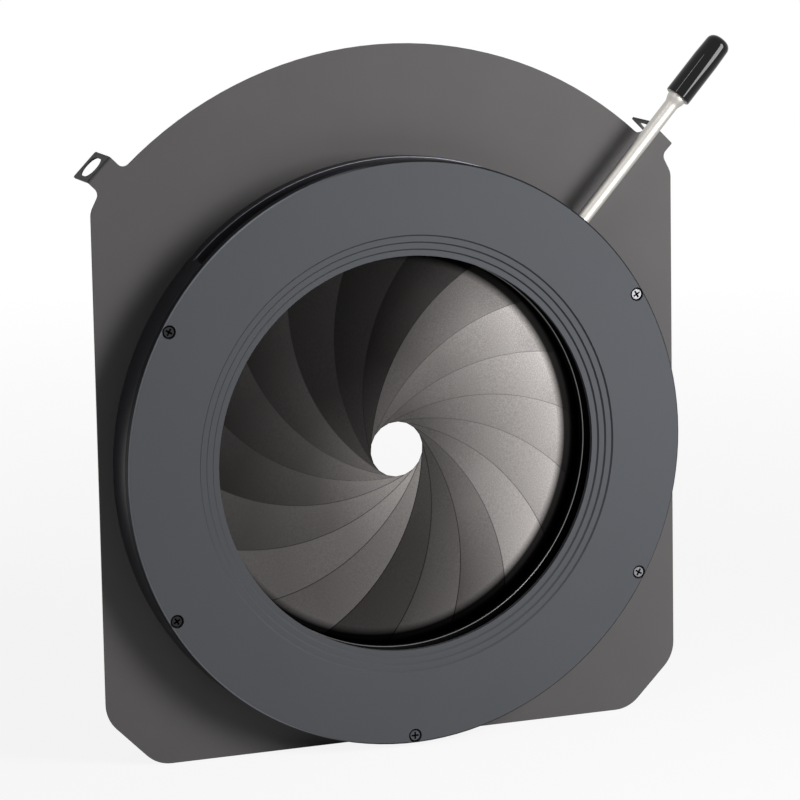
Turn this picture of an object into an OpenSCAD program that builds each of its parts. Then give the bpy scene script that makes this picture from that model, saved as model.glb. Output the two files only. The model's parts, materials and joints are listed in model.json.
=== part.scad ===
// Drop-in iris diaphragm: a sheet-metal mounting plate carries a round housing with eighteen
// sprung leaves, an actuator ring turned by a lever, and a stepped front cover.
// The optical axis is Y, the front faces -Y and +Z is up.

/* [Light path] */
// Radius of the clear opening in the front cover
opening_r = 60.3; // [55:0.1:66]
// Radius of the smallest hole that the leaves close down to
hole_r = 8.3; // [6:0.1:14]

/* [Leaves] */
// Number of leaves
leaf_count = 18; // [12:1:18]
// How far the fully open leaves stand back behind the cover's opening
leaf_setback = 5.7; // [4:0.1:8]
// Width of a leaf's band
leaf_w = 18; // [17:0.5:22]
// Thickness of the leaf steel
leaf_t = 0.08; // [0.05:0.01:0.09]
// How far a leaf climbs from its pivot end to its drive end
leaf_rise = 3.2; // [3.1:0.1:4.5]
// How quickly the climb slows towards the ends, in degrees of arc (more is straighter)
rise_spread = 80; // [70:5:90]
// Arc over which each end of a leaf narrows, in degrees
taper_arc = 7.5; // [6:0.5:12]
// Radius of the round end of a leaf
leaf_end_r = 4.5; // [3.5:0.1:5]
// Radius of the pivot stud at the back of each leaf
pivot_r = 0.75; // [0.6:0.05:1]
// Radius of the drive stud at the front of each leaf
drive_r = 1; // [0.8:0.05:1.2]
// Polar angle of the first leaf's centre with the hole at its smallest
first_leaf_angle = 16.9; // [0:0.1:20]

/* [Plate] */
// Thickness of the sheet
plate_t = 0.6; // [0.5:0.1:1.2]
// How far the side edges stand out past the housing
side_margin = 4.4; // [2:0.1:12]
// How far the bottom edge stands out below the housing
bottom_margin = 1.3; // [0.5:0.1:12]
// How far the arched top edge stands out above the housing
top_margin = 33.5; // [31:0.5:38]
// Leg of the cut-off bottom corners
corner_leg = 15.6; // [12:0.1:22]
// Radius where a cut-off corner meets the edges
corner_round = 11; // [3:0.5:14]
// Metal left under the countersink of a plate screw
sink_left = 0.12; // [0.1:0.02:0.2]

/* [Ears] */
// Width of each ear and of its folded tab
ear_w = 10; // [9:0.5:13]
// How far the folded tab's outer face stands out past the arched edge
ear_rise = 5.6; // [4.5:0.1:10]
// How far the folded tab reaches back from the plate's front face
tab_len = 13.9; // [13.4:0.1:18]
// Inner radius of the fold
fold_r = 0.3; // [0.2:0.1:0.8]
// Radius of the tab's corners
tab_round = 0.8; // [0.4:0.1:1.2]
// Length of the slotted hole, from front to back
slot_len = 9.8; // [8:0.1:10.4]
// Width of the slotted hole, across the ear
slot_w = 7; // [5:0.1:7.6]
// Metal left between the slotted hole and the tab's end
slot_edge = 1.4; // [1:0.1:2]
// How far the inner corners of an ear's neck stand out past the arched edge
neck_rise = 0.6; // [0.2:0.1:1]
// Radius of an ear's neck where it meets the plate's edge
neck_round = 2.4; // [1.5:0.1:3]
// How far the side edge stops below an ear's neck
shoulder_drop = 5.5; // [5:0.1:7]
// Radius where the side edge turns in to an ear
shoulder_round = 6; // [3:0.5:7]

/* [Housing] */
// Thickness of the wall at the cover's seat
wall_t = 4; // [3.6:0.1:6]
// Height of the wall above the plate
wall_h = 11.4; // [10.8:0.1:14]
// Thickness of the floor that carries the pivots
floor_t = 1.2; // [1:0.1:2]
// How far the floor stands back behind the cover's opening
floor_setback = 2.2; // [1.5:0.1:4]
// How far the plate's round opening stands back behind the floor's edge
plate_setback = 1; // [0.5:0.1:3]
// Width of the ledge that the actuator ring turns on
ledge_w = 0.7; // [0.5:0.1:1.2]
// Radius of the lever slot's lower corners
slot_round = 2; // [1:0.1:2.5]

/* [Front cover] */
// Thickness of the cover
cover_t = 2.9; // [2.6:0.1:5]
// Number of steps down to the opening
step_count = 3; // [1:1:4]
// Width of one step
step_w = 2.15; // [1.5:0.05:3]
// Drop of one step, which is also the width of its sloping riser
step_drop = 0.47; // [0.2:0.01:0.6]
// How far the risers stand in from whole numbers of steps
step_inset = 0.2; // [0:0.05:0.4]
// Chamfer on the cover's rim
rim_chamfer = 0.5; // [0.2:0.1:0.8]

/* [Actuator] */
// Thickness of the actuator ring
ring_t = 1.2; // [1:0.1:1.5]
// Chamfer on the ring's inner front edge
ring_chamfer = 0.25; // [0.1:0.05:0.4]
// Turn of the ring per turn of a leaf
turn_ratio = 2; // [2:0.01:2.02]
// Thickness of the retaining ring
keeper_t = 1.1; // [0.8:0.1:1.3]
// How far the retaining ring reaches in from its groove
keeper_w = 3.6; // [3:0.1:5]
// Depth of the groove in the wall
groove_depth = 0.8; // [0.5:0.1:1]
// How far the drive studs stand out in front of the ring
stud_proud = 0.2; // [0:0.05:0.4]

/* [Lever] */
// Polar angle of the lever with the hole at its smallest
lever_angle = 48; // [44:1:50]
// Angle that the lever sweeps to open the leaves fully
lever_travel = 86; // [70:1:88]
// Diameter of the rod
rod_d = 4.3; // [3.8:0.1:4.4]
// Length of the rod's bare part outside the housing
rod_reach = 48.5; // [35:0.1:60]
// Radial step down from the rod to its threaded end
thread_depth = 0.5; // [0.4:0.05:0.6]
// Metal left at the inner end of the rod's threaded bore
thread_stop = 1; // [0.8:0.1:1.6]
// Diameter of the sleeve end that the grip is pushed on
sleeve_d = 5.8; // [5.4:0.1:6.6]
// Length over which the rod flares out to its sleeve
flare_len = 3; // [2:0.1:4]
// Length of sleeve left bare below the grip
sleeve_bare = 0.5; // [0.2:0.1:1]
// Chamfer on the sleeve's end
sleeve_chamfer = 1; // [0.6:0.1:1.5]
// Outer diameter of the grip
grip_d = 8.1; // [7.8:0.1:9.5]
// Outer diameter of the grip at its tip
grip_tip_d = 7.7; // [7.2:0.1:8.1]
// Length of the grip
grip_len = 22.4; // [16:0.1:28]
// Length over which the grip narrows to its tip
grip_taper = 8; // [5:0.5:10]
// Radius round the grip's tip
tip_round = 2.4; // [1.5:0.1:3]
// Radius round the grip's open end
mouth_round = 0.3; // [0.2:0.05:0.4]
// Thickness of the grip's closed end
tip_wall = 3; // [2.5:0.1:4]
// How far the block that holds the rod stands in from the actuator ring's edge
block_inset = 1.2; // [1:0.1:1.6]
// Radial depth of the block
block_w = 6.4; // [6:0.1:6.8]
// Height of the block
block_h = 4.5; // [4.4:0.1:4.7]
// Angle that the block covers
block_angle = 18; // [16:1:20]
// Angle from the rod to each of the block's screws
block_screw_angle = 5.8; // [5.6:0.1:6]

/* [Fasteners] */
// Diameter of the screws
screw_d = 2; // [1.8:0.1:2.2]
// Diameter of the screw heads
head_d = 3.6; // [3.4:0.1:3.8]
// Height of the screw heads
head_h = 1.3; // [1:0.1:1.5]
// Chamfer round a screw head's top
head_chamfer = 0.3; // [0.2:0.05:0.4]
// Span of the cross recess in a screw head
recess_span = 2.3; // [1.8:0.1:2.6]
// Width of the cross recess's arms
recess_arm = 0.55; // [0.4:0.05:0.7]
// Depth of the cross recess
recess_depth = 0.8; // [0.6:0.1:0.9]
// Depth of the cross recess in a flat plate screw
flat_recess_depth = 0.35; // [0.3:0.05:0.4]
// How far the cover's screw heads sink below its face
head_sink = 0.25; // [0:0.05:0.5]
// How far a screw reaches into the housing
screw_bite = 3; // [2:0.1:3.2]
// How much deeper a screw's hole is than the screw
hole_spare = 0.5; // [0.3:0.1:0.6]
// Metal left between a cover screw's pocket and the rim
pocket_edge = 0.2; // [0.1:0.1:0.6]
// Angle between neighbouring screws
screw_pitch = 60; // [60]

/* [Clearances] */
// Radial running clearance of a stud in its bore
stud_clearance = 0.05; // [0.02:0.01:0.1]
// Extra width of a cam slot on each side of its stud
cam_clearance = 0.1; // [0.08:0.01:0.2]
// Radial running clearance of the actuator ring in the wall
ring_clearance = 0.08; // [0.04:0.01:0.1]
// Gap between parts that slide over each other along the axis
slide_gap = 0.1; // [0.08:0.01:0.15]
// Gap between the leaves and the wall
leaf_wall_gap = 0.3; // [0.2:0.05:0.6]
// Gap between the rod and the ends of its slot
lever_stop_gap = 0.3; // [0.2:0.05:0.6]
// Gap round the rod across its slot
lever_side_gap = 1.9; // [1.5:0.05:2.2]
// Radial gap round a screw's shank
shank_gap = 0.02; // [0.01:0.01:0.05]
// Radial gap round a screw's head in its pocket
pocket_gap = 0.3; // [0.2:0.05:0.4]

/* [Hidden] */
round_fn = 96;
overcut = 1;

// Leaves: a leaf is a band about its own centre; the pivot and drive studs sit on its middle line.
leaf_edge_r = opening_r + leaf_setback;
leaf_mid_r = leaf_edge_r + leaf_w / 2;
leaf_outer_r = leaf_edge_r + leaf_w;
leaf_pitch = 360 / leaf_count;
leaf_offset = leaf_edge_r - hole_r;
stud_angle = acos(leaf_offset / (2 * leaf_mid_r));
end_angle = 2 * asin(leaf_end_r / (2 * leaf_mid_r));
taper_angle = stud_angle - taper_arc;
flat_angle = stud_angle - end_angle;
leaf_steps = 32;
end_steps = 3;
end_reach = 78;
leaf_turn = lever_travel / turn_ratio;

// Heights above the plate's back face
floor_z = plate_t + floor_t;
leaf_z = floor_z + slide_gap;
drive_z = leaf_z + leaf_rise + leaf_t;
ring_z = drive_z + slide_gap;
ring_top_z = ring_z + ring_t;
wall_z = plate_t + wall_h;
cover_z = wall_z + cover_t;

// Radii about the optical axis
leaf_bore_r = leaf_outer_r + leaf_wall_gap;
ring_bore_r = leaf_bore_r + ledge_w;
housing_r = ring_bore_r + wall_t;
floor_r = opening_r + floor_setback;
gate_r = floor_r + plate_setback;
ring_r = ring_bore_r - ring_clearance;
pocket_r = head_d / 2 + pocket_gap;
pocket_depth = head_h + head_sink;
screw_circle_r = housing_r - pocket_edge - pocket_r;
shank_r = screw_d / 2;
screw_hole_r = shank_r + shank_gap;

// Plate
plate_half_w = housing_r + side_margin;
plate_drop = housing_r + bottom_margin;
plate_top_r = housing_r + top_margin;
fold_start = plate_top_r + ear_rise - plate_t - fold_r;
fold_lap = 1;
arch_join_angle = 3;
sink_depth = plate_t - sink_left;

// Retaining ring's lugs, which a pair of circlip pliers grips
lug_r = 2.2;
lug_hole_r = 0.9;
lug_inset = 2;
keeper_gap = 6;

// Lever
block_outer_r = ring_r - block_inset;
block_inner_r = block_outer_r - block_w;
rod_z = ring_top_z + block_h / 2;
block_seat_z = ring_top_z + block_h - head_h;
slot_low_z = rod_z - rod_d / 2 - lever_side_gap;
stop_angle = asin((rod_d / 2 + lever_stop_gap) / (housing_r - wall_t / 2));
grip_start = housing_r + rod_reach;
grip_bore_depth = grip_len - tip_wall;
thread_r = rod_d / 2 - thread_depth;
thread_len = block_w - thread_stop;

function numbered(word, i) = str(word, i < 10 ? "0" : "", i);
function on_circle(r, a) = [r * cos(a), r * sin(a)];
function turned(p, a) = [p.x * cos(a) - p.y * sin(a), p.x * sin(a) + p.y * cos(a)];
function unit(p) = p / norm(p);
function left_of(p) = [-p.y, p.x];

// ---- outline with rounded corners: each corner is [x, y, radius] ----
function corner_arc(before, at, after) =
    let (
        p = [at.x, at.y],
        to_before = unit([before.x, before.y] - p),
        to_after = unit([after.x, after.y] - p),
        half = acos(to_before * to_after) / 2,
        reach = at.z / tan(half),
        centre = p + unit(to_before + to_after) * (at.z / sin(half)),
        start = p + to_before * reach - centre,
        side = cross(to_before, to_after) > 0 ? -1 : 1,
        steps = 8
    )
    [for (k = [0:steps]) centre + turned(start, side * k * (180 - 2 * half) / steps)];

function rounded_outline(corners) =
    let (n = len(corners))
    [for (i = [0:n - 1])
        each corners[i].z > 0
            ? corner_arc(corners[(i + n - 1) % n], corners[i], corners[(i + 1) % n])
            : [[corners[i].x, corners[i].y]]];

function mirrored(corners) = [for (i = [len(corners) - 1:-1:0]) [-corners[i].x, corners[i].y, corners[i].z]];

// Right half of the plate's outline, from the bottom edge up to the start of the arched top
function plate_half() =
    let (
        out = on_circle(1, 45),
        up = on_circle(1, 135),
        notch_low = out * (plate_top_r + neck_rise) - up * ear_w / 2,
        fold_low = out * (fold_start - fold_lap) - up * ear_w / 2,
        fold_high = out * (fold_start - fold_lap) + up * ear_w / 2,
        notch_angle = 45 + asin(ear_w / 2 / plate_top_r),
        notch_high = on_circle(plate_top_r, notch_angle),
        arc_start = notch_angle + arch_join_angle,
        arc_steps = 16
    )
    concat(
        [
            [plate_half_w - corner_leg, -plate_drop, corner_round],
            [plate_half_w, corner_leg - plate_drop, corner_round],
            [plate_half_w, notch_low.y - shoulder_drop, shoulder_round],
            [notch_low.x, notch_low.y, neck_round],
            [fold_low.x, fold_low.y, 0],
            [fold_high.x, fold_high.y, 0],
            [notch_high.x, notch_high.y, neck_round]
        ],
        [for (k = [0:arc_steps])
            let (p = on_circle(plate_top_r, arc_start + k * (90 - arc_start) / (arc_steps + 0.5)))
            [p.x, p.y, 0]]
    );

module upright() {
    rotate([90, 0, 0]) children();
}

module ring_of(count, start = 0) {
    for (i = [0:count - 1]) rotate(start + i * 360 / count) children();
}

module tube(outer_r, inner_r, h) {
    difference() {
        cylinder(r = outer_r, h = h, $fn = round_fn);
        translate([0, 0, -overcut]) cylinder(r = inner_r, h = h + 2 * overcut, $fn = round_fn);
    }
}

// ---- plate ----
module folded_ear() {
    translate([fold_start - 2 * fold_lap, -ear_w / 2, 0]) cube([2 * fold_lap, ear_w, plate_t]);
    translate([fold_start, 0, -fold_r]) {
        rotate([90, 0, 0])
            translate([0, 0, -ear_w / 2])
                linear_extrude(ear_w)
                    intersection() {
                        difference() {
                            circle(r = fold_r + plate_t, $fn = 48);
                            circle(r = fold_r, $fn = 48);
                        }
                        square(fold_r + plate_t);
                    }
        difference() {
            translate([fold_r, -ear_w / 2, plate_t + fold_r - tab_len])
                cube([plate_t, ear_w, tab_len - plate_t - fold_r]);
            tab_slot();
            for (side = [-1, 1]) tab_corner(side);
        }
    }
}

module tab_slot() {
    slot_z = plate_t + fold_r - tab_len + slot_edge + slot_len / 2;
    half = (slot_len - slot_w) / 2;
    translate([fold_r - overcut, 0, slot_z])
        rotate([0, 90, 0])
            linear_extrude(plate_t + 2 * overcut) {
                translate([-half, 0]) circle(d = slot_w, $fn = 48);
                translate([half, 0]) circle(d = slot_w, $fn = 48);
                square([2 * half, slot_w], center = true);
            }
}

module tab_corner(side) {
    translate([fold_r - overcut, side * (ear_w / 2 - tab_round), plate_t + fold_r - tab_len + tab_round])
        rotate([0, 90, 0])
            linear_extrude(plate_t + 2 * overcut)
                difference() {
                    translate([0, side < 0 ? -2 * tab_round : 0]) square(2 * tab_round);
                    circle(r = tab_round, $fn = 32);
                }
}

module mounting_plate() {
    half = plate_half();
    color([0.36, 0.35, 0.35]) upright() {
        difference() {
            linear_extrude(plate_t) polygon(rounded_outline(concat(half, mirrored(half))));
            translate([0, 0, -overcut]) cylinder(r = gate_r, h = plate_t + 2 * overcut, $fn = round_fn);
            plate_screw_places() plate_screw_hole();
        }
        for (a = [45, 135]) rotate(a) folded_ear();
    }
}

module plate_screw_places() {
    ring_of(6) translate([screw_circle_r, 0, 0]) children();
}

module plate_screw_hole() {
    cylinder(r1 = head_d / 2, r2 = screw_hole_r, h = sink_depth, $fn = 32);
    cylinder(r = screw_hole_r, h = plate_t + overcut, $fn = 32);
}

module plate_screws() {
    color([0.2, 0.2, 0.2]) upright() plate_screw_places() difference() {
        union() {
            cylinder(r1 = head_d / 2, r2 = shank_r, h = sink_depth, $fn = 32);
            cylinder(r = shank_r, h = plate_t + screw_bite, $fn = 32);
        }
        cross_recess(flat_recess_depth);
    }
}

module cross_recess(depth) {
    for (a = [0, 90])
        rotate(a) translate([-recess_span / 2, -recess_arm / 2, -overcut])
            cube([recess_span, recess_arm, depth + overcut]);
}

// ---- housing ----
module housing() {
    color([0.1, 0.1, 0.11]) upright() difference() {
        union() {
            translate([0, 0, plate_t]) tube(housing_r, floor_r, floor_t);
            translate([0, 0, plate_t]) tube(housing_r, leaf_bore_r, ring_z - plate_t - slide_gap);
            translate([0, 0, plate_t]) tube(housing_r, ring_bore_r, wall_h);
        }
        lever_slot();
        keeper_groove();
        leaf_places() translate([leaf_mid_r, 0, plate_t - overcut])
            cylinder(r = pivot_r + stud_clearance, h = floor_t + 2 * overcut, $fn = 24);
        cover_screw_places() translate([0, 0, wall_z - screw_bite - hole_spare])
            cylinder(r = screw_hole_r, h = screw_bite + hole_spare + overcut, $fn = 32);
        plate_screw_places() translate([0, 0, plate_t - overcut])
            cylinder(r = screw_hole_r, h = screw_bite + hole_spare + overcut, $fn = 32);
    }
}

// Polar places of the pivots, which the leaves' studs sit in
module leaf_places() {
    ring_of(leaf_count, first_leaf_angle - stud_angle) children();
}

// A sector of the wall with round lower corners, from one stop of the rod to the other
module lever_slot() {
    first = lever_angle - stop_angle;
    last = lever_angle + lever_travel + stop_angle;
    corner = slot_round / housing_r * 180 / PI;
    slot_sector(first, last, slot_low_z + slot_round, wall_z + overcut, overcut);
    slot_sector(first + corner, last - corner, slot_low_z, slot_low_z + 1.5 * slot_round, 2 * overcut);
    for (a = [first + corner, last - corner])
        rotate(a) translate([leaf_bore_r - 3 * overcut, 0, slot_low_z + slot_round])
            rotate([0, 90, 0]) cylinder(r = slot_round, h = housing_r - leaf_bore_r + 6 * overcut, $fn = 48);
}

module slot_sector(first, last, low_z, high_z, spare) {
    rotate(first) rotate_extrude(angle = last - first, $fn = round_fn)
        translate([leaf_bore_r - spare, low_z]) square([housing_r - leaf_bore_r + 2 * spare, high_z - low_z]);
}

module keeper_groove() {
    translate([0, 0, ring_top_z])
        cylinder(r = ring_bore_r + groove_depth, h = keeper_t + 2 * slide_gap, $fn = round_fn);
}

// ---- front cover ----
module front_cover() {
    riser_half = step_drop / 2;
    color([0.35, 0.37, 0.38]) upright() difference() {
        rotate_extrude($fn = round_fn) polygon(concat(
            [[opening_r, wall_z], [housing_r, wall_z], [housing_r, cover_z - rim_chamfer],
             [housing_r - rim_chamfer, cover_z]],
            [for (k = [step_count:-1:1]) let (
                    r = opening_r + k * step_w - step_inset,
                    z = cover_z - (step_count - k) * step_drop)
                each [[r + riser_half, z], [r - riser_half, z - step_drop]]],
            [[opening_r, cover_z - step_count * step_drop]]
        ));
        cover_screw_places() {
            translate([0, 0, cover_z - pocket_depth])
                cylinder(r = pocket_r, h = pocket_depth + overcut, $fn = 48);
            translate([0, 0, wall_z - overcut])
                cylinder(r = screw_hole_r, h = cover_t + 2 * overcut, $fn = 32);
        }
    }
}

// The place at the top is left out, because the lever's slot is there.
module cover_screw_places() {
    for (k = [1:5]) rotate(90 + k * screw_pitch) translate([screw_circle_r, 0, 0]) children();
}

module cover_screws() {
    seat_z = cover_z - pocket_depth;
    color([0.45, 0.45, 0.46]) upright() cover_screw_places()
        translate([0, 0, seat_z]) pan_screw(seat_z - wall_z + screw_bite);
}

module pan_screw(shank_len) {
    straight = head_h - head_chamfer;
    difference() {
        union() {
            cylinder(r = head_d / 2, h = straight, $fn = 48);
            translate([0, 0, straight])
                cylinder(r1 = head_d / 2, r2 = head_d / 2 - head_chamfer, h = head_chamfer, $fn = 48);
            translate([0, 0, -shank_len]) cylinder(r = shank_r, h = shank_len, $fn = 32);
        }
        translate([0, 0, head_h]) mirror([0, 0, 1]) cross_recess(recess_depth);
    }
}

// ---- retaining ring: an open spring ring whose gap leaves the lever's sweep free ----
module retaining_ring() {
    outer_r = ring_bore_r + groove_depth - ring_clearance;
    first = lever_angle + lever_travel + block_angle / 2 + keeper_gap;
    last = 360 + lever_angle - block_angle / 2 - keeper_gap;
    lug_at = outer_r - keeper_w + lug_hole_r / 2;
    color([0.55, 0.55, 0.56]) upright() translate([0, 0, ring_top_z + slide_gap]) difference() {
        union() {
            rotate(first) rotate_extrude(angle = last - first, $fn = round_fn)
                translate([outer_r - keeper_w, 0]) square([keeper_w, keeper_t]);
            for (a = [first + lug_inset, last - lug_inset])
                rotate(a) translate([lug_at, 0, 0]) cylinder(r = lug_r, h = keeper_t, $fn = 48);
        }
        for (a = [first + lug_inset, last - lug_inset])
            rotate(a) translate([lug_at, 0, -overcut])
                cylinder(r = lug_hole_r, h = keeper_t + 2 * overcut, $fn = 24);
    }
}

// ---- actuator ring ----
module actuator_ring() {
    color([0.07, 0.07, 0.075]) upright() difference() {
        translate([0, 0, ring_z]) tube(ring_r, opening_r, ring_t);
        translate([0, 0, ring_top_z - ring_chamfer])
            cylinder(r1 = opening_r, r2 = opening_r + 2 * ring_chamfer, h = 2 * ring_chamfer, $fn = round_fn);
        ring_of(leaf_count, first_leaf_angle) translate([0, 0, ring_z - overcut])
            linear_extrude(ring_t + 2 * overcut) cam_slot();
        block_screw_places() translate([0, 0, ring_z - overcut])
            cylinder(r = screw_hole_r, h = ring_t + 2 * overcut, $fn = 32);
    }
}

// Where the first leaf's drive stud stands on the turning ring, at one angle of the ring
function cam_point(travel) =
    let (
        pivot = on_circle(leaf_mid_r, -stud_angle),
        arm = on_circle(leaf_mid_r, stud_angle) - pivot
    )
    turned(pivot + turned(arm, travel / turn_ratio), -travel);

// Which way the stud moves along its slot, at one angle of the ring
function cam_way(travel) =
    let (nudge = 0.5)
    unit(cam_point(travel + nudge) - cam_point(travel - nudge));

// Angle from one direction clockwise to another; a turn the other way counts as none.
function clockwise(from, to) =
    let (turn = (atan2(from.y, from.x) - atan2(to.y, to.x) + 720) % 360)
    turn < 180 ? turn : 0;

function cap_arc(centre, from, to, r) =
    let (
        turn = clockwise(from, to),
        steps = max(1, ceil(turn / 20))
    )
    [for (k = [1:steps]) centre + turned(from, -k * turn / steps) * r];

// The stud goes in along one flank of the slot, round its inner end and back out along the other
// flank. The outline keeps a clear width to the left of that path, with its points closest together
// round the inner end, and arcs about the path's two ends close it.
module cam_slot() {
    wide = drive_r + cam_clearance;
    flank_steps = 24;
    crowding = 1.3;
    last = cam_point(lever_travel);
    last_side = left_of(cam_way(lever_travel));
    cap_side = left_of(unit(cam_point(0) - last));
    first_side = left_of(cam_way(0));
    start_arc = cap_arc(cam_point(0), cap_side, first_side, wide);
    polygon(concat(
        [for (k = [0:flank_steps]) let (
                x = 2 * k / flank_steps - 1,
                travel = lever_travel / 2 * (1 + sign(x) * pow(abs(x), crowding)))
            cam_point(travel) + left_of(cam_way(travel)) * wide],
        cap_arc(last, last_side, cap_side, wide),
        [for (k = [0:len(start_arc) - 2]) start_arc[k]]
    ));
}

// ---- lever ----
module block_screw_places() {
    for (side = [-1, 1])
        rotate(lever_angle + side * block_screw_angle)
            translate([block_inner_r + block_w / 2, 0, 0]) children();
}

module lever_block() {
    color([0.1, 0.1, 0.105]) upright() difference() {
        rotate(lever_angle - block_angle / 2) rotate_extrude(angle = block_angle, $fn = round_fn)
            translate([block_inner_r, ring_top_z]) square([block_w, block_h]);
        rotate(lever_angle) translate([block_outer_r - thread_len, 0, rod_z])
            rotate([0, 90, 0]) cylinder(r = thread_r, h = thread_len + overcut, $fn = 32);
        rotate(lever_angle) translate([block_outer_r - thread_len / 2, 0, rod_z])
            cylinder(r = screw_hole_r, h = block_h, $fn = 32);
        block_screw_places() {
            translate([0, 0, ring_top_z - overcut]) cylinder(r = screw_hole_r, h = block_h, $fn = 32);
            translate([0, 0, block_seat_z]) cylinder(r = pocket_r, h = block_h, $fn = 48);
        }
    }
}

module lever_block_screws() {
    color([0.5, 0.5, 0.5]) upright() block_screw_places()
        translate([0, 0, block_seat_z]) pan_screw(block_seat_z - ring_z);
}

module lever_set_screw() {
    color([0.3, 0.3, 0.3]) upright() rotate(lever_angle)
        translate([block_outer_r - thread_len / 2, 0, rod_z + thread_r])
            cylinder(r = shank_r, h = block_h / 2 - thread_r, $fn = 32);
}

// Revolved about its own length, which runs outwards from the axis
module lever_rod() {
    rod_r = rod_d / 2;
    sleeve_r = sleeve_d / 2;
    flare_start = grip_start - sleeve_bare - flare_len;
    flare_steps = 8;
    end = grip_start + grip_bore_depth;
    color([0.78, 0.77, 0.74]) upright() along_lever() rotate_extrude($fn = 48) polygon(concat(
        [[0, block_outer_r - thread_len], [thread_r, block_outer_r - thread_len],
         [thread_r, block_outer_r], [rod_r, block_outer_r]],
        [for (k = [0:flare_steps]) let (a = k * 180 / flare_steps)
            [rod_r + (sleeve_r - rod_r) * (1 - cos(a)) / 2, flare_start + flare_len * k / flare_steps]],
        [[sleeve_r, end - sleeve_chamfer], [sleeve_r - sleeve_chamfer, end], [0, end]]
    ));
}

module along_lever() {
    rotate(lever_angle) translate([0, 0, rod_z]) rotate([0, 90, 0]) children();
}

// The grip's bore ends in the same chamfer as the sleeve that it is pushed on.
module lever_grip() {
    grip_r = grip_d / 2;
    tip_r = grip_tip_d / 2;
    bore_r = sleeve_d / 2;
    end = grip_start + grip_len;
    bore_end = grip_start + grip_bore_depth;
    round_steps = 6;
    color([0.04, 0.04, 0.045]) upright() along_lever() rotate_extrude($fn = 48) polygon(concat(
        [[bore_r, grip_start]],
        [for (k = [0:round_steps]) let (a = k * 90 / round_steps)
            [grip_r - mouth_round * (1 - sin(a)), grip_start + mouth_round * (1 - cos(a))]],
        [[grip_r, end - grip_taper]],
        [for (k = [0:round_steps]) let (a = k * 90 / round_steps)
            [tip_r - tip_round * (1 - cos(a)), end - tip_round * (1 - sin(a))]],
        [[0, end], [0, bore_end], [bore_r - sleeve_chamfer, bore_end], [bore_r, bore_end - sleeve_chamfer]]
    ));
}

// ---- leaves ----
// A leaf climbs from back to front along its arc, fastest in the middle, so that each lies on the next.
function climb(a) =
    let (c = max(-flat_angle, min(flat_angle, a)))
    leaf_rise / 2 * (1 + c / flat_angle * (rise_spread + flat_angle) / (rise_spread + abs(c)));

// Half width of the band: full in the middle, tapering to round ends at the studs
function half_width(a) =
    abs(a) <= taper_angle ? leaf_w / 2
    : abs(a) <= stud_angle
        ? leaf_w / 2 + (leaf_end_r - leaf_w / 2) * (abs(a) - taper_angle) / (stud_angle - taper_angle)
        : sqrt(max(0, pow(leaf_end_r, 2) - pow(leaf_mid_r * (abs(a) - stud_angle) * PI / 180, 2)));

// Angles along the arc where the band has a cross-section
function leaf_stations() =
    let (
        ends = [for (k = [1:end_steps]) stud_angle + end_angle * sin(k * end_reach / end_steps)],
        mid = (taper_angle + stud_angle) / 2
    )
    concat(
        [for (k = [end_steps - 1:-1:0]) -ends[k]], [-stud_angle, -mid],
        [for (k = [0:leaf_steps]) taper_angle * (2 * k / leaf_steps - 1)],
        [mid, stud_angle], ends
    );

module leaf(i) {
    stations = leaf_stations();
    n = len(stations);
    points = [for (a = stations) each [for (side = [-1, 1]) each [for (top = [0, 1])
        let (p = on_circle(leaf_mid_r + side * half_width(a), 180 - a))
        [p.x + leaf_offset, p.y, leaf_z + climb(a) + top * leaf_t]]]];
    sides = [[0, 2, 6, 4], [1, 5, 7, 3], [0, 4, 5, 1], [2, 3, 7, 6]];
    faces = concat(
        [[0, 1, 3, 2]],
        [for (k = [0:n - 2], s = sides) each [
            [4 * k + s[0], 4 * k + s[1], 4 * k + s[2]],
            [4 * k + s[0], 4 * k + s[2], 4 * k + s[3]]]],
        [[4 * n - 4, 4 * n - 2, 4 * n - 1, 4 * n - 3]]
    );
    color([0.3, 0.3, 0.3]) upright() rotate(first_leaf_angle + (i - 1) * leaf_pitch)
        polyhedron(points, faces, convexity = 6);
}

module leaf_studs(i) {
    color([0.5, 0.5, 0.5]) upright() rotate(first_leaf_angle + (i - 1) * leaf_pitch) {
        rotate(-stud_angle) translate([leaf_mid_r, 0, plate_t + slide_gap])
            cylinder(r = pivot_r, h = floor_t, $fn = 24);
        rotate(stud_angle) translate([leaf_mid_r, 0, drive_z])
            cylinder(r = drive_r, h = slide_gap + ring_t + stud_proud, $fn = 24);
    }
}

mounting_plate();
housing();
front_cover();
retaining_ring();
cover_screws();
plate_screws();
actuator_ring();
lever_block();
lever_block_screws();
lever_set_screw();
lever_rod();
lever_grip();
for (i = [1:leaf_count]) {
    leaf(i);
    leaf_studs(i);
}
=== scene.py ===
"""Looks for the drop-in iris diaphragm: finishes, light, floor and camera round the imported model."""

import json
import math

import bmesh
import bpy
from mathutils import Matrix, Vector

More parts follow.
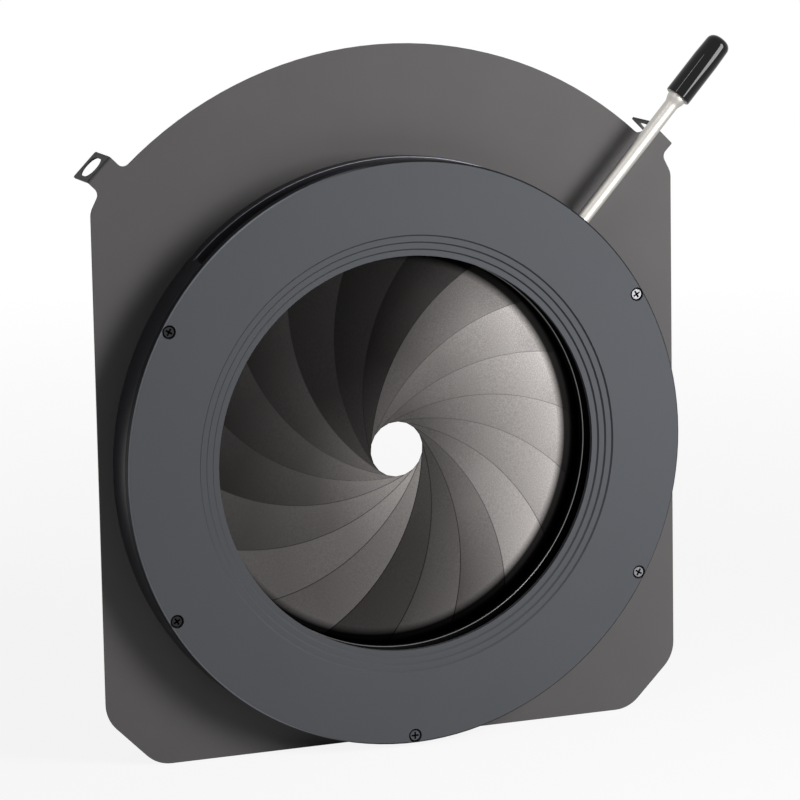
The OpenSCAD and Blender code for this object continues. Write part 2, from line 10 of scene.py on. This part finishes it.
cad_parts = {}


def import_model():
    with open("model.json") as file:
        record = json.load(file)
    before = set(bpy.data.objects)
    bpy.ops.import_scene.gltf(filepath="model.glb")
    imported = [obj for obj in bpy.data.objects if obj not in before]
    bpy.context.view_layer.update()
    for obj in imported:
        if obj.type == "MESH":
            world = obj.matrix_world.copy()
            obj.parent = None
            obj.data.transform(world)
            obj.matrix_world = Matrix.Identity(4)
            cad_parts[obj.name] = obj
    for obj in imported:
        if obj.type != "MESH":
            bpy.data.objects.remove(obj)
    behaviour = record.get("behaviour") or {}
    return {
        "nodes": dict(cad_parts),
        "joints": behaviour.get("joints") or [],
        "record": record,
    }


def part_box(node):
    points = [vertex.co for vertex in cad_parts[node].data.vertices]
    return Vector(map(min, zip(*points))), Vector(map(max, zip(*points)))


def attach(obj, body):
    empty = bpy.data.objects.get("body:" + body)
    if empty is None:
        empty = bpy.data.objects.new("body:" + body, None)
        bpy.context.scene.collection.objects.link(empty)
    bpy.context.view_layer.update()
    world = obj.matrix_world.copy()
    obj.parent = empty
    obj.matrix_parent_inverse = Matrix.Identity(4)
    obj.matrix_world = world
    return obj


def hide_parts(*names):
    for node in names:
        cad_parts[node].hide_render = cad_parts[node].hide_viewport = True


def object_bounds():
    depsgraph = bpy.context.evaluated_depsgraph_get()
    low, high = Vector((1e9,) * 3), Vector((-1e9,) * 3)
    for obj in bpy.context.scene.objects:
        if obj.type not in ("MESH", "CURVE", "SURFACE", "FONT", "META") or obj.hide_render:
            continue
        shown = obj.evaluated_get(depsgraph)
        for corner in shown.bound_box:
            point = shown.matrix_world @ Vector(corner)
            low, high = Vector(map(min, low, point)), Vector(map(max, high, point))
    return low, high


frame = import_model()
cad_box = [list(corner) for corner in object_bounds()]
slot_of = {part["node"]: part["material_slot"] for part in frame["record"]["subparts"]}
joint_place = {joint["name"]: Vector(joint["pos_m"]) for joint in frame["joints"]}
MM = 0.001


# ---- finishes ----
# The two colours that a Mix node takes, and the colour that it gives
MIX_FIRST, MIX_SECOND, MIX_RESULT = 6, 7, 2


def rgb(red, green, blue):
    """A colour given in display values from 0 to 255, as linear light."""
    return (display(red), display(green), display(blue), 1)


def display(value):
    """One display value from 0 to 255, as linear light."""
    value /= 255
    return value / 12.92 if value <= 0.04045 else ((value + 0.055) / 1.055) ** 2.4


class Finish:
    """A principled material and the nodes round it."""

    def __init__(self, name, colour, metallic=0.0, roughness=0.5, specular=0.5):
        self.material = bpy.data.materials.new(name)
        self.material.use_nodes = True
        self.tree = self.material.node_tree
        self.shader = self.tree.nodes["Principled BSDF"]
        self.colour = colour
        self.shader.inputs["Base Color"].default_value = colour
        self.shader.inputs["Metallic"].default_value = metallic
        self.shader.inputs["Roughness"].default_value = roughness
        self.shader.inputs["Specular IOR Level"].default_value = specular

    def add(self, kind, **settings):
        """A node. A setting goes to the input of that name, or else to the property."""
        node = self.tree.nodes.new(kind)
        for name, value in settings.items():
            if name in node.inputs:
                node.inputs[name].default_value = value
            else:
                setattr(node, name, value)
        return node

    def link(self, output, target):
        self.tree.links.new(output, target)

    def math(self, operation, *values):
        """The operation on its values, each a socket or a number."""
        node = self.add("ShaderNodeMath", operation=operation)
        for target, value in zip(node.inputs, values):
            if isinstance(value, bpy.types.NodeSocket):
                self.link(value, target)
            else:
                target.default_value = value
        return node.outputs[0]

    def spread(self, value, low, high, start=0.3, end=0.7):
        """The value mapped from start and end to low and high, and kept between them."""
        ranged = self.add("ShaderNodeMapRange")
        ranged.inputs["From Min"].default_value = start
        ranged.inputs["From Max"].default_value = end
        ranged.inputs["To Min"].default_value = low
        ranged.inputs["To Max"].default_value = high
        self.link(value, ranged.inputs["Value"])
        return ranged.outputs["Result"]

    def noise(self, size, stretch=(1, 1, 1), detail=3, space="Object"):
        """Noise whose features are about that size: metres, or shares of the piece in Generated space."""
        place = self.add("ShaderNodeTexCoord")
        scale = self.add("ShaderNodeMapping")
        scale.inputs["Scale"].default_value = [1 / (size * share) for share in stretch]
        noise = self.add("ShaderNodeTexNoise", Scale=1.0, Detail=detail, Roughness=0.6)
        self.link(place.outputs[space], scale.inputs["Vector"])
        self.link(scale.outputs["Vector"], noise.inputs["Vector"])
        return noise.outputs["Fac"]

    def place(self):
        """The three coordinates of a point of the piece."""
        coordinates = self.add("ShaderNodeTexCoord")
        split = self.add("ShaderNodeSeparateXYZ")
        self.link(coordinates.outputs["Object"], split.inputs[0])
        return split.outputs

    def radius(self, middle_x=0.0, middle_z=0.0):
        """Distance from the optical axis, or from a line beside it."""
        x, y, z = self.place()
        across = self.math("POWER", self.math("SUBTRACT", x, middle_x), 2)
        up = self.math("POWER", self.math("SUBTRACT", z, middle_z), 2)
        return self.math("SQRT", self.math("ADD", across, up))

    def shade(self, factor, colour=None):
        """Colours the surface with the base colour, or with another one's socket, times a factor's socket."""
        mix = self.add("ShaderNodeMix", data_type="RGBA", blend_type="MULTIPLY")
        mix.inputs["Factor"].default_value = 1
        if colour:
            self.link(colour, mix.inputs[MIX_FIRST])
        else:
            mix.inputs[MIX_FIRST].default_value = self.colour
        self.link(factor, mix.inputs[MIX_SECOND])
        self.link(mix.outputs[MIX_RESULT], self.shader.inputs["Base Color"])

    def vary_roughness(self, value, low, high):
        self.link(self.spread(value, low, high), self.shader.inputs["Roughness"])

    def bump(self, value, depth):
        """Relief of that depth in metres."""
        bump = self.add("ShaderNodeBump", Strength=1.0, Distance=depth)
        self.link(value, bump.inputs["Height"])
        self.link(bump.outputs["Normal"], self.shader.inputs["Normal"])

    def round_edges(self, radius):
        """Sharp edges that catch the light as if they were rounded by that radius."""
        bevel = self.add("ShaderNodeBevel", samples=4, Radius=radius)
        self.link(bevel.outputs["Normal"], self.shader.inputs["Normal"])


def plate_paint():
    """Fine-grained satin powder coat."""
    finish = Finish("plate_paint", rgb(91, 89, 89), roughness=0.5, specular=0.06)
    finish.shade(finish.spread(finish.noise(30 * MM), 0.97, 1.03))
    grain = finish.noise(0.4 * MM)
    finish.vary_roughness(grain, 0.46, 0.56)
    finish.bump(grain, 0.01 * MM)
    return finish.material


# The cover, as in the solid: its innermost riser, the pitch of its steps, where they end, and the inner edge
# of the rim's chamfer
RISER_R = 62.25 * MM
STEP_PITCH = 2.15 * MM
STEPS_END_R = 67.6 * MM
RIM_R = 88.5 * MM
# The outside of the cover and of the housing
WALL_R = 89 * MM
# Painted shade of a riser, the side wall's tone, and the chamfer's painted highlight at left and shade at
# right
RISER_SHADE = 0.5
WALL_SHADE = 0.25
RIM_PAINTED_HIGHLIGHT, RIM_PAINTED_SHADE = 3.2, 0.15


def cover_grey():
    """Blue-grey satin anodising, with painted shade in the risers of the steps and painted light and shade on
    the rim.
    """
    finish = Finish("cover_grey", rgb(80, 82, 86), roughness=0.45, specular=0.06)
    x, y, z = finish.place()
    radius = finish.radius()
    # Painted shade in the risers, full towards the top, where they face away from the light, and gone towards
    # the bottom
    from_riser = finish.math("PINGPONG", finish.math("SUBTRACT", radius, RISER_R), STEP_PITCH / 2)
    off_risers = finish.math("MAXIMUM", finish.spread(from_riser, 0, 1, 0.1 * MM, 0.26 * MM),
                             finish.math("GREATER_THAN", radius, STEPS_END_R))
    faded = finish.spread(z, 1, RISER_SHADE, -50 * MM, 10 * MM)
    risers = finish.math("MAXIMUM", off_risers, faded)
    wall = finish.math("GREATER_THAN", radius, WALL_R - 0.1 * MM)
    chamfer = finish.math("SUBTRACT", finish.math("GREATER_THAN", radius, RIM_R), wall)
    # Painted highlight on the rim's chamfer at the left, turning to painted shade at its right
    turned = finish.math("SUBTRACT", finish.spread(x, RIM_PAINTED_HIGHLIGHT, RIM_PAINTED_SHADE, -50 * MM, -10 * MM), 1)
    rim = finish.math("ADD", finish.math("MULTIPLY", chamfer, turned),
                      finish.spread(wall, 1, WALL_SHADE, 0, 1))
    mottle = finish.spread(finish.noise(40 * MM), 0.98, 1.02)
    finish.shade(finish.math("MULTIPLY", mottle, finish.math("MULTIPLY", risers, rim)))
    grain = finish.noise(0.3 * MM)
    finish.vary_roughness(grain, 0.4, 0.5)
    finish.bump(grain, 0.005 * MM)
    return finish.material


# The lever's slot in the wall: how far its near edge lies in front of the plate's back face, and its middle
# and half its length in degrees round the axis
SLOT_EDGE = 4.68 * MM
SLOT_MIDDLE, SLOT_HALF = 91, 44.5
# How much brighter than the rest that edge is painted, as a painted highlight
SLOT_EDGE_HIGHLIGHT = 16


def housing_black():
    """Black anodising, with a painted highlight along the near edge of the lever's slot."""
    finish = Finish("housing_black", rgb(44, 44, 48), roughness=0.35, specular=0.3)
    x, y, z = finish.place()
    from_edge = finish.math("ABSOLUTE", finish.math("ADD", y, SLOT_EDGE))
    angle = finish.math("ARCTAN2", z, x)
    beside = finish.math("COMPARE", angle, math.radians(SLOT_MIDDLE), math.radians(SLOT_HALF))
    outside = finish.math("GREATER_THAN", finish.radius(), WALL_R - 0.2 * MM)
    # Painted highlight along the near edge of the slot, on the outside of the wall
    edge = finish.spread(from_edge, SLOT_EDGE_HIGHLIGHT, 0, 0.08 * MM, 0.3 * MM)
    wear_and_highlight = finish.math("MULTIPLY", edge, finish.math("MULTIPLY", beside, outside))
    finish.shade(finish.math("ADD", wear_and_highlight, finish.spread(finish.noise(10 * MM), 0.95, 1.05)))
    finish.round_edges(0.3 * MM)
    return finish.material


# The actuator ring's opening, and how far beyond it the chamfer rubbed to bare metal begins and ends
OPENING_R = 60.3 * MM
WORN_START, WORN_END = 0.08 * MM, 0.24 * MM


def ring_black():
    """Polished black, rubbed through to bright metal along the chamfer round the opening."""
    finish = Finish("ring_black", rgb(8, 8, 8), specular=0.15)
    radius = finish.radius()
    beyond = finish.math("GREATER_THAN", radius, OPENING_R + WORN_START)
    wear_and_highlight = finish.math("MULTIPLY", beyond, finish.math("LESS_THAN", radius, OPENING_R + WORN_END))
    finish.link(wear_and_highlight, finish.shader.inputs["Metallic"])
    colour = finish.add("ShaderNodeMix", data_type="RGBA")
    colour.inputs[MIX_FIRST].default_value = finish.colour
    colour.inputs[MIX_SECOND].default_value = rgb(125, 125, 125)
    finish.link(wear_and_highlight, colour.inputs["Factor"])
    finish.link(colour.outputs[MIX_RESULT], finish.shader.inputs["Base Color"])
    finish.vary_roughness(finish.noise(0.8 * MM), 0.3, 0.38)
    return finish.material


# The leaves carry painted shade from the ring beyond a circle a little off the axis: its middle, where the
# painted shade begins and is full, and its shade
RING_SHADE_X, RING_SHADE_Z = -3.6 * MM, 1.6 * MM
RING_SHADE_START_R, RING_SHADE_END_R = 56.1 * MM, 58.5 * MM
RING_SHADE_LEVEL = 0.03


def leaf_steel():
    """Satin steel with a fine grain, its tones from the mesh holding painted light and reflection, and
    painted shade from the ring near the rim.
    """
    finish = Finish("leaf_steel", rgb(200, 196, 192), metallic=1.0)
    tone = finish.add("ShaderNodeAttribute", attribute_name="tone").outputs["Color"]
    grain = finish.noise(0.4 * MM, detail=2)
    # Painted shade from the ring over the leaves' outer ends
    kept = finish.spread(finish.radius(RING_SHADE_X, RING_SHADE_Z), 1, RING_SHADE_LEVEL, RING_SHADE_START_R, RING_SHADE_END_R)
    finish.shade(finish.math("MULTIPLY", finish.spread(grain, 0.86, 1.14), kept), tone)
    finish.vary_roughness(grain, 0.13, 0.16)
    return finish.material


def steel(name, colour, roughness):
    """Plain turned or pressed steel."""
    finish = Finish(name, colour, metallic=1.0)
    finish.vary_roughness(finish.noise(0.6 * MM), roughness * 0.85, roughness * 1.15)
    return finish.material


def cover_screw_steel():
    """Blackened heads with painted shade in the recess and round the edge, painted lighter towards the
    lever's side where the light falls.
    """
    finish = Finish("cover_screw_steel", rgb(64, 64, 66), metallic=1.0, roughness=0.35)
    shaded_far_side, lit_lever_side, recess = 0.5, 4, 0.02
    x, y, z = finish.place()
    heads_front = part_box("cover_screws")[0][1]
    depth = finish.math("SUBTRACT", y, heads_front)
    # Painted light on the side the light comes from, and painted shade in the recess and round the edge
    painted_light_by_side = finish.spread(x, shaded_far_side, lit_lever_side, -30 * MM, 60 * MM)
    finish.shade(finish.math("MULTIPLY", painted_light_by_side, finish.spread(depth, 1, recess, 0.12 * MM, 0.22 * MM)))
    return finish.material


def rod_nickel():
    """Satin nickel, polished lengthwise."""
    finish = Finish("rod_nickel", rgb(186, 183, 178), metallic=1.0)
    grain = finish.noise(0.0002, stretch=(1, 1, 60), space="Generated")
    finish.vary_roughness(grain, 0.42, 0.48)
    return finish.material


def grip_plastic():
    """Glossy moulded plastic with the slight waviness of a dipped cap."""
    finish = Finish("grip_plastic", rgb(2, 2, 4), roughness=0.06, specular=0.24)
    finish.bump(finish.noise(5 * MM, detail=1), 0.01 * MM)
    return finish.material


finishes = {
    "plate_paint": plate_paint(),
    "cover_grey": cover_grey(),
    "housing_black": housing_black(),
    "ring_black": ring_black(),
    "leaf_steel": leaf_steel(),
    "stud_steel": steel("stud_steel", rgb(150, 150, 150), 0.3),
    "spring_steel": steel("spring_steel", rgb(140, 140, 142), 0.3),
    "screw_steel": steel("screw_steel", rgb(190, 190, 192), 0.25),
    "screw_black": steel("screw_black", rgb(50, 50, 50), 0.35),
    "rod_nickel": rod_nickel(),
    "grip_plastic": grip_plastic(),
}
cover_screws = cover_screw_steel()
for name, node in frame["nodes"].items():
    node.data.materials.clear()
    node.data.materials.append(cover_screws if name == "cover_screws" else finishes[slot_of[name]])


# ---- meshes ----
def new_piece(name, mesh, slot, body, replaced):
    """A piece made from a finished bmesh, in place of a solid."""
    data = bpy.data.meshes.new(name)
    mesh.to_mesh(data)
    mesh.free()
    data.materials.append(finishes[slot])
    piece = bpy.data.objects.new(name, data)
    bpy.context.collection.objects.link(piece)
    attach(piece, body)
    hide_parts(replaced)


def smooth(mesh):
    """Normals outwards and smooth shading on every face."""
    bmesh.ops.recalc_face_normals(mesh, faces=mesh.faces)
    for face in mesh.faces:
        face.smooth = True


# ---- leaves: a smooth band for each, of the same form as its solid ----
LEAF_COUNT = 18
LEAF_WIDTH = 18 * MM
LEAF_THICKNESS = 0.08 * MM
LEAF_RISE = 3.2 * MM
LEAF_END_R = 4.5 * MM
HOLE_R = 8.3 * MM
RISE_SPREAD = 80
TAPER_ARC = 7.5
LEAF_BACK = -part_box("leaf_01")[1][1]
# Sections of the mesh along the arc, along a taper, and in degrees round an end
ARC_STEPS, TAPER_STEPS = 72, 4
END_STEP, END_STEPS = 12, 8

pivot = joint_place["leaf_pivot_01"]
leaf_mid_r = math.hypot(pivot.x, pivot.z)
leaf_offset = leaf_mid_r - LEAF_WIDTH / 2 - HOLE_R
stud_angle = math.degrees(math.acos(leaf_offset / (2 * leaf_mid_r)))
end_angle = 2 * math.degrees(math.asin(LEAF_END_R / (2 * leaf_mid_r)))
taper_angle = stud_angle - TAPER_ARC
flat_angle = stud_angle - end_angle
first_leaf_angle = math.degrees(math.atan2(pivot.z, pivot.x)) + stud_angle

# Painted light and reflection on the steel, as tones at three places from the hole to the ring, and their
# change in per cent over half the width, for some of the leaves round the ring; the leaves between them
# blend. They were measured in the photo by another program and rounded to fives, as report.md says.
TONE_ARCS = (5, 24, 44)
LEAF_TONES = (
    (0, 45, 30, 30, -25), (1, 60, 35, 35, -15), (2, 90, 55, 40, -25), (4, 125, 70, 45, -15),
    (6, 145, 100, 85, 0), (7, 125, 100, 85, 5), (8, 65, 55, 55, 10), (9, 65, 75, 80, 20),
    (10, 75, 100, 95, 25), (11, 80, 135, 165, 15), (14, 80, 130, 190, 10), (15, 85, 115, 180, 5),
    (16, 80, 85, 120, -20), (17, 45, 30, 40, -50),
)
# How far the middle of the strip that shows moves across the leaf in half widths, for a degree along it
STRIP_SHIFT = 0.018
# Green and blue of the steel as shares of its red
STEEL_GREEN, STEEL_BLUE = 0.94, 0.915
# The painted shadow line along each leaf's edges: its width, and its shade
EDGE_WIDTH = 0.3 * MM
PAINTED_EDGE_SHADOW = 0.45


def climb(angle):
    """How far a leaf has risen from the housing's floor at that angle along it."""
    kept = max(-flat_angle, min(flat_angle, angle))
    return LEAF_RISE / 2 * (1 + kept / flat_angle * (RISE_SPREAD + flat_angle) / (RISE_SPREAD + abs(kept)))


def half_width(angle):
    """Half the leaf's width at that angle: full, then tapering to a round end."""
    size = abs(angle)
    if size <= taper_angle:
        return LEAF_WIDTH / 2
    if size <= stud_angle:
        share = (size - taper_angle) / (stud_angle - taper_angle)
        return LEAF_WIDTH / 2 + (LEAF_END_R - LEAF_WIDTH / 2) * share
    reach = leaf_mid_r * math.radians(size - stud_angle)
    return math.sqrt(max(0, LEAF_END_R**2 - reach**2))


def leaf_stations():
    """Angles along the arc where the band has a cross-section."""
    ends = [stud_angle + end_angle * math.sin(math.radians(k * END_STEP)) for k in range(END_STEPS)]
    side = [taper_angle + TAPER_ARC * k / TAPER_STEPS for k in range(1, TAPER_STEPS)] + ends
    middle = [taper_angle * (2 * k / ARC_STEPS - 1) for k in range(ARC_STEPS + 1)]
    return [-angle for angle in reversed(side)] + middle + side


def leaf_section(half):
    """Places across the band and in front of its back, along the back and then along the front."""
    inner = half - EDGE_WIDTH
    back = [(across, 0) for across in (-half, 0, half)]
    return back + [(across, LEAF_THICKNESS) for across in (half, inner, 0, -inner, -half)]


def leaf_tone(index, angle, side):
    """The painted light at one place along and across a leaf, as a tone blended between the leaves named."""
    after = next(k for k, stop in enumerate(LEAF_TONES) if stop[0] >= index)
    low, high = LEAF_TONES[max(0, after - 1)], LEAF_TONES[after]
    share = (index - low[0]) / (high[0] - low[0]) if high[0] > low[0] else 0
    *tones, change = [first + (last - first) * share for first, last in zip(low[1:], high[1:])]
    place = max(TONE_ARCS[0], min(TONE_ARCS[-1], angle))
    outer = next(k for k in (1, 2) if place <= TONE_ARCS[k])
    reach = (place - TONE_ARCS[outer - 1]) / (TONE_ARCS[outer] - TONE_ARCS[outer - 1])
    middle = tones[outer - 1] + (tones[outer] - tones[outer - 1]) * reach
    strip_side = STRIP_SHIFT * place - 1
    return display(middle * (1 + change / 100 * (side - strip_side)))


def leaf(index):
    """A closed band with a painted shadow line along its edges."""
    mesh = bmesh.new()
    tones = mesh.verts.layers.float_color.new("tone")
    turn = Matrix.Rotation(-math.radians(first_leaf_angle + index * 360 / LEAF_COUNT), 3, "Y")
    rings = []
    for angle in leaf_stations():
        half = half_width(angle)
        direction = math.radians(180 - angle)
        ring = []
        for across, front in leaf_section(half):
            x = leaf_offset + (leaf_mid_r + across) * math.cos(direction)
            z = (leaf_mid_r + across) * math.sin(direction)
            vertex = mesh.verts.new(turn @ Vector((x, -(LEAF_BACK + climb(angle) + front), z)))
            # Painted shadow line along the edges of the leaf
            shade = leaf_tone(index, angle, across / half) * (PAINTED_EDGE_SHADOW if abs(across) == half else 1)
            vertex[tones] = (shade, shade * STEEL_GREEN, shade * STEEL_BLUE, 1)
            ring.append(vertex)
        rings.append(ring)
    count = len(rings[0])
    for before, after in zip(rings, rings[1:]):
        for k in range(count):
            mesh.faces.new((before[k], before[(k + 1) % count], after[(k + 1) % count], after[k]))
        for corner in (0, 2, 3, count - 1):
            mesh.edges.get((before[corner], after[corner])).smooth = False
    for ring in (rings[0], list(reversed(rings[-1]))):
        mesh.faces.new(ring)
    smooth(mesh)
    node = f"leaf_{index + 1:02d}"
    new_piece(f"leaf_band_{index + 1:02d}", mesh, "leaf_steel", node, node)


for leaf_index in range(LEAF_COUNT):
    leaf(leaf_index)


# ---- lever: smooth turned pieces along the rod, with distances from the optical axis as in the solids ----
LEVER_ANGLE = 48
BLOCK_OUTER_R = 83.72 * MM
THREAD_LENGTH = 5.4 * MM
THREAD_R = 1.65 * MM
ROD_R = 2.15 * MM
SLEEVE_R = 2.9 * MM
SLEEVE_CHAMFER = 1 * MM
SLEEVE_BARE = 0.5 * MM
FLARE = 3 * MM
GRIP_START = 137.5 * MM
GRIP_LENGTH = 22.4 * MM
GRIP_R = 4.05 * MM
GRIP_TIP_R = 3.85 * MM
GRIP_TAPER = 8 * MM
TIP_ROUND = 2.4 * MM
TIP_WALL = 3 * MM
MOUTH_ROUND = 0.3 * MM
# Sections of the meshes round the axis, along the flare and round an edge
SEGMENTS, FLARE_STEPS, ROUND_STEPS = 96, 16, 12
# Edges that turn by as many degrees or more stay sharp
SHARP_ANGLE = 35


def lathe(name, profile, axis_place, direction, slot, body, replaced):
    """A turned piece. Its profile gives distances along the axis and radii, and closes on the axis."""
    mesh = bmesh.new()
    side = direction.orthogonal().normalized()
    up = direction.cross(side)
    angles = [2 * math.pi * k / SEGMENTS for k in range(SEGMENTS)]
    rings = []
    for along, radius in profile:
        centre = axis_place + direction * along
        outwards = [side * math.cos(a) + up * math.sin(a) for a in angles] if radius else [Vector()]
        rings.append([mesh.verts.new(centre + way * radius) for way in outwards])
    for before, after in zip(rings, rings[1:]):
        for k in range(SEGMENTS):
            near = (k + 1) % SEGMENTS
            if len(before) == 1:
                mesh.faces.new((before[0], after[k], after[near]))
            elif len(after) == 1:
                mesh.faces.new((before[near], before[k], after[0]))
            else:
                mesh.faces.new((before[near], before[k], after[k], after[near]))
    smooth(mesh)
    for edge in mesh.edges:
        edge.smooth = len(edge.link_faces) != 2 or edge.calc_face_angle() < math.radians(SHARP_ANGLE)
    new_piece(name, mesh, slot, body, replaced)


def lever():
    """The rod with its flared sleeve, and the cap pushed on it."""
    low, high = [Vector(corner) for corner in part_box("lever_rod")]
    place = Vector((0, (low.y + high.y) / 2, 0))
    direction = Vector((math.cos(math.radians(LEVER_ANGLE)), 0, math.sin(math.radians(LEVER_ANGLE))))
    flare_start = GRIP_START - SLEEVE_BARE - FLARE
    tip = GRIP_START + GRIP_LENGTH
    end = tip - TIP_WALL

    rod = [(BLOCK_OUTER_R - THREAD_LENGTH, 0), (BLOCK_OUTER_R - THREAD_LENGTH, THREAD_R)]
    rod += [(BLOCK_OUTER_R, THREAD_R), (BLOCK_OUTER_R, ROD_R)]
    for k in range(FLARE_STEPS + 1):
        grown = (1 - math.cos(math.pi * k / FLARE_STEPS)) / 2
        rod.append((flare_start + FLARE * k / FLARE_STEPS, ROD_R + (SLEEVE_R - ROD_R) * grown))
    rod += [(end - SLEEVE_CHAMFER, SLEEVE_R), (end, SLEEVE_R - SLEEVE_CHAMFER), (end, 0)]
    lathe("rod", rod, place, direction, "rod_nickel", "actuator", "lever_rod")

    quarter = [math.pi / 2 * k / ROUND_STEPS for k in range(ROUND_STEPS + 1)]
    grip = [(end, 0), (end, SLEEVE_R - SLEEVE_CHAMFER)]
    grip += [(end - SLEEVE_CHAMFER, SLEEVE_R), (GRIP_START, SLEEVE_R)]
    grip += [(GRIP_START + MOUTH_ROUND * (1 - math.cos(a)), GRIP_R - MOUTH_ROUND * (1 - math.sin(a)))
             for a in quarter]
    grip += [(tip - GRIP_TAPER, GRIP_R)]
    grip += [(tip - TIP_ROUND * (1 - math.sin(a)), GRIP_TIP_R - TIP_ROUND * (1 - math.cos(a)))
             for a in quarter]
    grip += [(tip, 0)]
    lathe("grip", grip, place, direction, "grip_plastic", "actuator", "lever_grip")


lever()


# ---- floor, light and camera ----
def seen_directly(tree):
    """One where a camera, glossy or transmission ray looks, and zero for the rays that only carry light."""
    path = tree.nodes.new("ShaderNodeLightPath")
    total = path.outputs["Is Camera Ray"]
    for kind in ("Is Glossy Ray", "Is Transmission Ray"):
        largest = tree.nodes.new("ShaderNodeMath")
        largest.operation = "MAXIMUM"
        tree.links.new(total, largest.inputs[0])
        tree.links.new(path.outputs[kind], largest.inputs[1])
        total = largest.outputs[0]
    return total


def blend(tree, share, first, second, output):
    """Sends to the output the first shader, and the second in its place where the share is one."""
    mix = tree.nodes.new("ShaderNodeMixShader")
    for value, target in zip((share, first, second), mix.inputs):
        tree.links.new(value, target)
    tree.links.new(mix.outputs[0], tree.nodes[output].inputs["Surface"])


def floor():
    """A pale floor that shows white far off, and keeps the shadow near the object."""
    size = 14
    fade_start, fade_end = 0.25, 0.9
    near_white, far_white = 0.88, 1.0
    bpy.ops.mesh.primitive_plane_add(size=size, location=(0, 0, cad_box[0][2]))
    plane = bpy.context.object
    plane.name = "floor"
    finish = Finish("floor_white", (0.9, 0.9, 0.9, 1), roughness=0.9, specular=0.0)
    place = finish.add("ShaderNodeTexCoord")
    distance = finish.add("ShaderNodeVectorMath", operation="LENGTH")
    finish.link(place.outputs["Object"], distance.inputs[0])
    white = finish.spread(distance.outputs["Value"], near_white, far_white, fade_start, fade_end)
    share = finish.math("MULTIPLY", white, seen_directly(finish.tree))
    glow = finish.add("ShaderNodeEmission")
    blend(finish.tree, share, finish.shader.outputs[0], glow.outputs[0], "Material Output")
    plane.data.materials.append(finish.material)


def toward(azimuth, elevation):
    """Unit vector to a place round the object: azimuth 0 is straight in front, positive to the right."""
    azimuth, elevation = math.radians(azimuth), math.radians(elevation)
    flat = math.cos(elevation)
    return Vector((math.sin(azimuth) * flat, -math.cos(azimuth) * flat, math.sin(elevation)))


def softbox(name, azimuth, elevation, distance, size, radiance):
    """An area light that faces the object and is that bright to look at."""
    data = bpy.data.lights.new(name, "AREA")
    data.shape = "RECTANGLE"
    data.size, data.size_y = size
    data.energy = radiance * math.pi * size[0] * size[1]
    light = bpy.data.objects.new(name, data)
    place = toward(azimuth, elevation) * distance
    light.location = place
    light.rotation_euler = (-place).to_track_quat("-Z", "Y").to_euler()
    bpy.context.collection.objects.link(light)


def world():
    """White wherever it is looked at, and a dimmer room light for the rest."""
    room_light = 0.085
    scene_world = bpy.data.worlds.new("studio")
    bpy.context.scene.world = scene_world
    scene_world.use_nodes = True
    tree = scene_world.node_tree
    room = tree.nodes["Background"]
    shown = tree.nodes.new("ShaderNodeBackground")
    for background, strength in ((room, room_light), (shown, 1)):
        background.inputs["Color"].default_value = (1, 1, 1, 1)
        background.inputs["Strength"].default_value = strength
    blend(tree, seen_directly(tree), room.outputs[0], shown.outputs[0], "World Output")


def camera():
    """Looks at the object from a little to the left and above, with a long lens."""
    azimuth, elevation, roll = -21.53, 10.43, -1.03
    distance = 1.2812
    aim = Vector((0.0035, 0.0018, 0.0139))
    back = toward(azimuth, elevation)
    data = bpy.data.cameras.new("camera")
    data.lens = 190.06
    data.clip_start = 0.1
    item = bpy.data.objects.new("camera", data)
    turn = back.to_track_quat("Z", "Y") @ Matrix.Rotation(math.radians(roll), 3, "Z").to_quaternion()
    item.matrix_world = Matrix.Translation(aim + back * distance) @ turn.to_matrix().to_4x4()
    bpy.context.collection.objects.link(item)
    bpy.context.scene.camera = item


floor()
softbox("key", azimuth=36, elevation=16, distance=0.57, size=(0.21, 0.31), radiance=16.1)
softbox("strip", azimuth=-43, elevation=44, distance=1.2, size=(0.05, 0.5), radiance=15)
world()
camera()
bpy.context.scene.view_settings.view_transform = "Standard"
